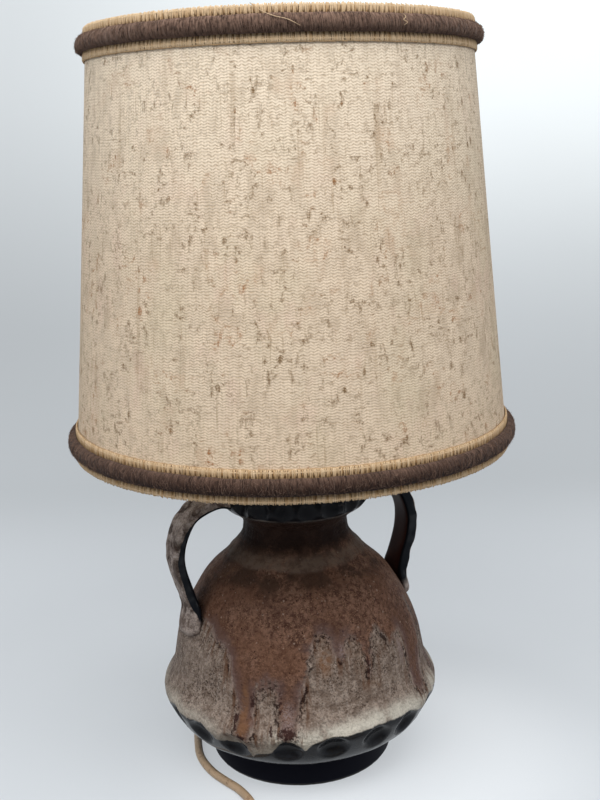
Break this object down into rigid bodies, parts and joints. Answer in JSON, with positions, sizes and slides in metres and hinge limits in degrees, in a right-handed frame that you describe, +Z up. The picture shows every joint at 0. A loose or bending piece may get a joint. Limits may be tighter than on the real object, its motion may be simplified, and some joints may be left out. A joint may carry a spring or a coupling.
{
  "type": "ceramic table lamp",
  "caption": "Table lamp with a two-handled thumb-pressed stoneware body, a tapered cloth shade with braid and wool trims, and a switched mains lead.",
  "frame": {"origin": "on the floor under the middle of the foot", "axes": "+Z up along the lamp's axis, the two handles along X, the lead leaves the foot toward +Y"},
  "size_m": [0.3122, 0.3679, 0.4988],
  "materials": {
    "stoneware": "speckled reddish brown glaze running into a grey-beige lava band, glossy black below",
    "handle_glaze": "glossy black glaze, mottled grey-brown on the outer face",
    "felt": "black felt",
    "bush_plastic": "satin beige",
    "zinc_steel": "zinc plated",
    "brass": "satin",
    "gasket": "matte",
    "holder_plastic": "moulded black",
    "porcelain": "white",
    "opal_glass": "opal white",
    "shade_cloth": "coarse cream weave with brown flecks",
    "shade_liner": "off-white laminate",
    "braid": "tan braid",
    "wool": "taupe-brown wool",
    "painted_wire": "white enamel",
    "lead_beige": "beige sheath",
    "switch_plastic": "moulded beige",
    "tie_plastic": "white strip",
    "nickel": "nickel plated"
  },
  "bodies": {
    "lamp_base": {"felt_pad": "felt", "vase_body": "stoneware", "handle_left": "handle_glaze", "handle_right": "handle_glaze", "cord_grommet": "bush_plastic", "rod_washer": "zinc_steel", "rod_nut": "zinc_steel", "threaded_rod": "zinc_steel", "cap_gasket": "gasket", "neck_cap": "brass", "cap_nut": "zinc_steel", "spacer_tube": "brass", "holder_cap": "holder_plastic", "holder_shell": "holder_plastic", "holder_insert": "porcelain", "screw_sleeve": "brass", "centre_contact": "brass", "terminal_left": "brass", "terminal_right": "brass", "shade_ring_lower": "holder_plastic", "shade_ring_upper": "holder_plastic", "bulb_glass": "opal_glass", "bulb_cap": "nickel", "bulb_contact": "nickel", "inner_lead": "lead_beige", "lead_to_switch": "lead_beige", "lead_to_coil": "lead_beige", "lead_coil": "lead_beige", "lead_to_plug": "lead_beige", "coil_tie": "tie_plastic", "switch_base": "switch_plastic", "switch_cover": "switch_plastic", "switch_pin": "zinc_steel", "switch_terminal_in": "brass", "switch_terminal_out": "brass", "plug_body": "switch_plastic", "plug_pin_left": "nickel", "plug_pin_right": "nickel"},
    "shade": {"shade_fabric": "shade_cloth", "shade_liner": "shade_liner", "frame_top_ring": "painted_wire", "frame_bottom_ring": "painted_wire", "fitter_ring": "painted_wire", "spoke_1": "painted_wire", "spoke_2": "painted_wire", "spoke_3": "painted_wire", "trim_top_band": "braid", "trim_top_roll": "wool", "trim_bottom_band": "braid", "trim_bottom_roll": "wool"},
    "rocker": {"switch_rocker": "switch_plastic"}
  },
  "joints": [
    {"name": "shade_turn", "type": "hinge", "parent": "lamp_base", "child": "shade", "pos_m": [0, 0, 0.2567], "axis": [0, 0, 1], "continuous": true},
    {"name": "rocker_tip", "type": "hinge", "parent": "lamp_base", "child": "rocker", "pos_m": [-0.00857, -0.13175, 0.014], "axis": [0.3827, 0.9239, 0], "range_deg": [-16, 0]}
  ]
}
